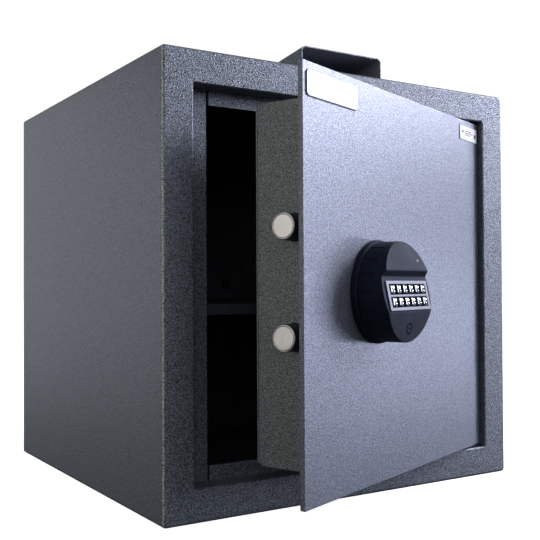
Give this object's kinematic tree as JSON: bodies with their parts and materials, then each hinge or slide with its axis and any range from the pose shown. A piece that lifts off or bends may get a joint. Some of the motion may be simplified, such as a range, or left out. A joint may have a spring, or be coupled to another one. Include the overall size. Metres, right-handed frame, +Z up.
{
  "type": "deposit safe with keypad dial",
  "caption": "Square steel safe with a flush door ajar, turning keypad dial, round locking bolts, inner shelf and a hooded deposit slot in the top.",
  "frame": {"origin": "centre of the cabinet's underside, on the surface it stands on", "axes": "+Z up, the door and face border towards -Y, the hinge side towards +X"},
  "size_m": [0.45, 0.5772, 0.4776],
  "materials": {
    "paint": "dark blue-grey metallic hammered powder coat, satin",
    "door_paint": "the same powder coat on the door",
    "inside": "near-black powder coat, matt",
    "bush": "dark oiled steel",
    "rubber": "matt black",
    "steel": "bright machined steel",
    "zinc": "zinc-plated steel",
    "badge": "blank white badge",
    "label": "blank pale label",
    "plastic": "fine-textured black moulding",
    "silver": "satin silver keypad frame",
    "lens": "small clear signal lens",
    "nickel": "satin nickel-plated steel",
    "chrome": "bright chrome"
  },
  "bodies": {
    "cabinet": {"front_frame": "paint", "left_side_panel": "paint", "right_side_panel": "paint", "top_panel": "paint", "base_panel": "paint", "back_panel": "paint", "left_jamb": "paint", "top_stop_strip": "paint", "bottom_stop_strip": "paint", "hinge_side_jamb": "paint", "upper_hinge_bush": "bush", "lower_hinge_bush": "bush", "shelf": "inside", "left_shelf_bracket": "inside", "right_shelf_bracket": "inside", "deposit_hood": "paint", "deposit_chute": "inside", "left_anchor_plug": "rubber", "right_anchor_plug": "rubber"},
    "door": {"door_plate": "door_paint", "door_box": "door_paint", "rear_cover": "door_paint", "rear_cover_screw_1": "steel", "rear_cover_screw_2": "steel", "rear_cover_screw_3": "steel", "rear_cover_screw_4": "steel", "dog_bar": "steel", "upper_hinge_lug": "steel", "lower_hinge_lug": "steel", "upper_hinge_pin": "steel", "lower_hinge_pin": "steel", "upper_bolt_sleeve": "bush", "lower_bolt_sleeve": "bush", "lock_case": "zinc", "carriage_guide_stud": "steel", "name_badge": "badge", "corner_label": "label", "dial_base": "plastic"},
    "dial": {"dial_housing": "plastic", "keypad_bezel": "silver", "signal_lens": "lens", "service_port": "plastic", "dial_spindle": "steel", "drive_pinion": "steel"},
    "boltwork": {"bolt_carriage": "zinc", "upper_bolt": "nickel", "lower_bolt": "nickel"},
    "blocking_pin": {"blocking_pin": "steel"},
    "key_01": {"key_01": "chrome"},
    "key_02": {"key_02": "chrome"},
    "key_03": {"key_03": "chrome"},
    "key_04": {"key_04": "chrome"},
    "key_05": {"key_05": "chrome"},
    "key_06": {"key_06": "chrome"},
    "key_07": {"key_07": "chrome"},
    "key_08": {"key_08": "chrome"},
    "key_09": {"key_09": "chrome"},
    "key_10": {"key_10": "chrome"},
    "key_11": {"key_11": "chrome"},
    "key_12": {"key_12": "chrome"}
  },
  "joints": [
    {"name": "door_swing", "type": "hinge", "parent": "cabinet", "child": "door", "pos_m": [0.17, -0.21, 0.225], "axis": [0, 0, 1], "range_deg": [-22, 85]},
    {"name": "dial_turn", "type": "hinge", "parent": "door", "child": "dial", "pos_m": [-0.03582, -0.32551, 0.2176], "axis": [0.3746, -0.9272, 0], "range_deg": [0, 90]},
    {"name": "bolt_throw", "type": "slide", "parent": "door", "child": "boltwork", "axis": [-0.9272, -0.3746, 0], "range_m": [-0.0005, 0.01935]},
    {"name": "blocking_pin_throw", "type": "slide", "parent": "door", "child": "blocking_pin", "axis": [-0.3746, 0.9272, 0], "range_m": [0, 0.01]},
    {"name": "key_01_press", "type": "slide", "parent": "dial", "child": "key_01", "axis": [-0.3666, 0.9074, -0.2053], "range_m": [0, 0.0012], "stiffness_N_per_m": 300, "springref_m": -0.0006},
    {"name": "key_02_press", "type": "slide", "parent": "dial", "child": "key_02", "axis": [-0.3666, 0.9074, -0.2053], "range_m": [0, 0.0012], "stiffness_N_per_m": 300, "springref_m": -0.0006},
    {"name": "key_03_press", "type": "slide", "parent": "dial", "child": "key_03", "axis": [-0.3666, 0.9074, -0.2053], "range_m": [0, 0.0012], "stiffness_N_per_m": 300, "springref_m": -0.0006},
    {"name": "key_04_press", "type": "slide", "parent": "dial", "child": "key_04", "axis": [-0.3666, 0.9074, -0.2053], "range_m": [0, 0.0012], "stiffness_N_per_m": 300, "springref_m": -0.0006},
    {"name": "key_05_press", "type": "slide", "parent": "dial", "child": "key_05", "axis": [-0.3666, 0.9074, -0.2053], "range_m": [0, 0.0012], "stiffness_N_per_m": 300, "springref_m": -0.0006},
    {"name": "key_06_press", "type": "slide", "parent": "dial", "child": "key_06", "axis": [-0.3666, 0.9074, -0.2053], "range_m": [0, 0.0012], "stiffness_N_per_m": 300, "springref_m": -0.0006},
    {"name": "key_07_press", "type": "slide", "parent": "dial", "child": "key_07", "axis": [-0.3666, 0.9074, -0.2053], "range_m": [0, 0.0012], "stiffness_N_per_m": 300, "springref_m": -0.0006},
    {"name": "key_08_press", "type": "slide", "parent": "dial", "child": "key_08", "axis": [-0.3666, 0.9074, -0.2053], "range_m": [0, 0.0012], "stiffness_N_per_m": 300, "springref_m": -0.0006},
    {"name": "key_09_press", "type": "slide", "parent": "dial", "child": "key_09", "axis": [-0.3666, 0.9074, -0.2053], "range_m": [0, 0.0012], "stiffness_N_per_m": 300, "springref_m": -0.0006},
    {"name": "key_10_press", "type": "slide", "parent": "dial", "child": "key_10", "axis": [-0.3666, 0.9074, -0.2053], "range_m": [0, 0.0012], "stiffness_N_per_m": 300, "springref_m": -0.0006},
    {"name": "key_11_press", "type": "slide", "parent": "dial", "child": "key_11", "axis": [-0.3666, 0.9074, -0.2053], "range_m": [0, 0.0012], "stiffness_N_per_m": 300, "springref_m": -0.0006},
    {"name": "key_12_press", "type": "slide", "parent": "dial", "child": "key_12", "axis": [-0.3666, 0.9074, -0.2053], "range_m": [0, 0.0012], "stiffness_N_per_m": 300, "springref_m": -0.0006}
  ],
  "couplings": [
    {"joint": "bolt_throw", "follows": "dial_turn", "m_per_rad": 0.012}
  ]
}
